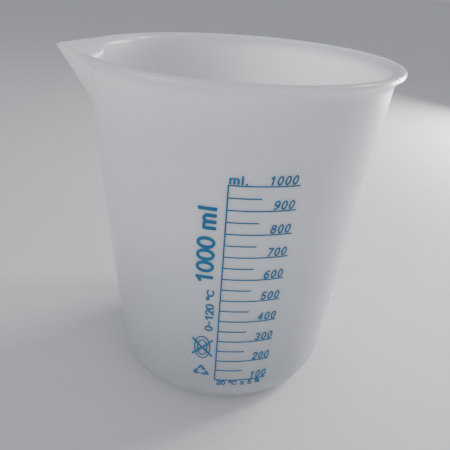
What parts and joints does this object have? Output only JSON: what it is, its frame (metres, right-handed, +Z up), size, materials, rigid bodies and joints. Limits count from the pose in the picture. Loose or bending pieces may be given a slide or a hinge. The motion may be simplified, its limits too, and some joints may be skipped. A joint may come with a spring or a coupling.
{
  "type": "graduated beaker",
  "caption": "Translucent moulded plastic beaker with a flared lip, a V-shaped pour spout and a printed volume scale.",
  "frame": {"origin": "on the cup's axis, in the plane of the foot ring that the beaker stands on", "axes": "+Z up along the cup's axis, -X towards the pour spout, -Y towards the printed scale"},
  "size_m": [0.139, 0.1304, 0.1485],
  "materials": {
    "milky_plastic": "translucent natural polypropylene, satin",
    "blue_ink": "screen-printed blue ink, satin"
  },
  "bodies": {
    "root": {"beaker_body": "milky_plastic", "scale_spine": "blue_ink", "full_lines": "blue_ink", "half_lines": "blue_ink", "numerals": "blue_ink", "unit_mark": "blue_ink", "tolerance_mark": "blue_ink", "capacity_mark": "blue_ink", "temperature_mark": "blue_ink", "care_mark": "blue_ink", "recycling_mark": "blue_ink"}
  },
  "joints": []
}
